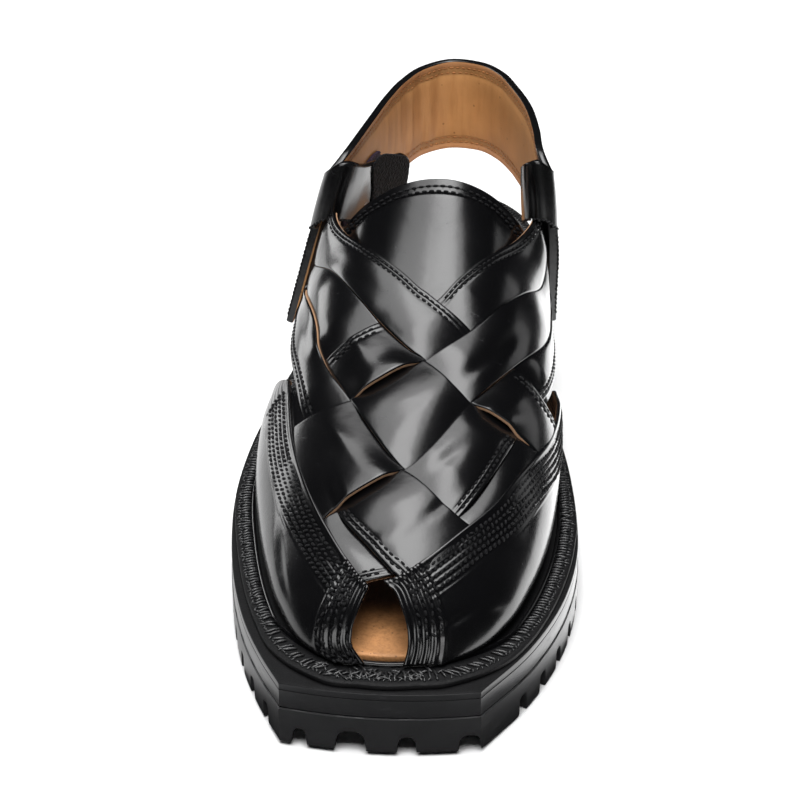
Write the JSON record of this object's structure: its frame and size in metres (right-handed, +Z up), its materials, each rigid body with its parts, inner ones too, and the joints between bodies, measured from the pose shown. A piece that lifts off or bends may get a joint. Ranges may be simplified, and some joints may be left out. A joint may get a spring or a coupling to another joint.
{
  "type": "chappal",
  "caption": "Closed-in leather sandal for the right foot: woven strap upper with a peep toe, instep tongue, lined heel strap folded round its ears, and a lugged rubber sole.",
  "frame": {"origin": "middle of the shoe's box, on the floor under the sole", "axes": "+Z up, +Y from the toe to the heel, +X towards the wearer's inner (medial) side"},
  "size_m": [0.119, 0.2978, 0.1134],
  "materials": {
    "sole_rubber": "satin black moulded rubber",
    "midsole_rubber": "smooth buffed black rubber",
    "welt_leather": "waxed black strip with whipped thread",
    "insole_leather": "tan footbed, fine cracks and specks",
    "upper_leather": "high-gloss polished black leather",
    "strap_leather": "polished black leather with tan lining",
    "tan_lining": "matte tan lining leather and raw edges",
    "black_thread": "waxed black thread",
    "hook_and_loop": "matte fuzzy loop tape"
  },
  "bodies": {
    "root": {"outsole": "sole_rubber", "midsole": "midsole_rubber", "welt": "welt_leather", "insole": "insole_leather", "upper": "upper_leather", "tongue": "upper_leather", "heel_strap": "strap_leather", "fastening_pad": "hook_and_loop"}
  },
  "joints": []
}
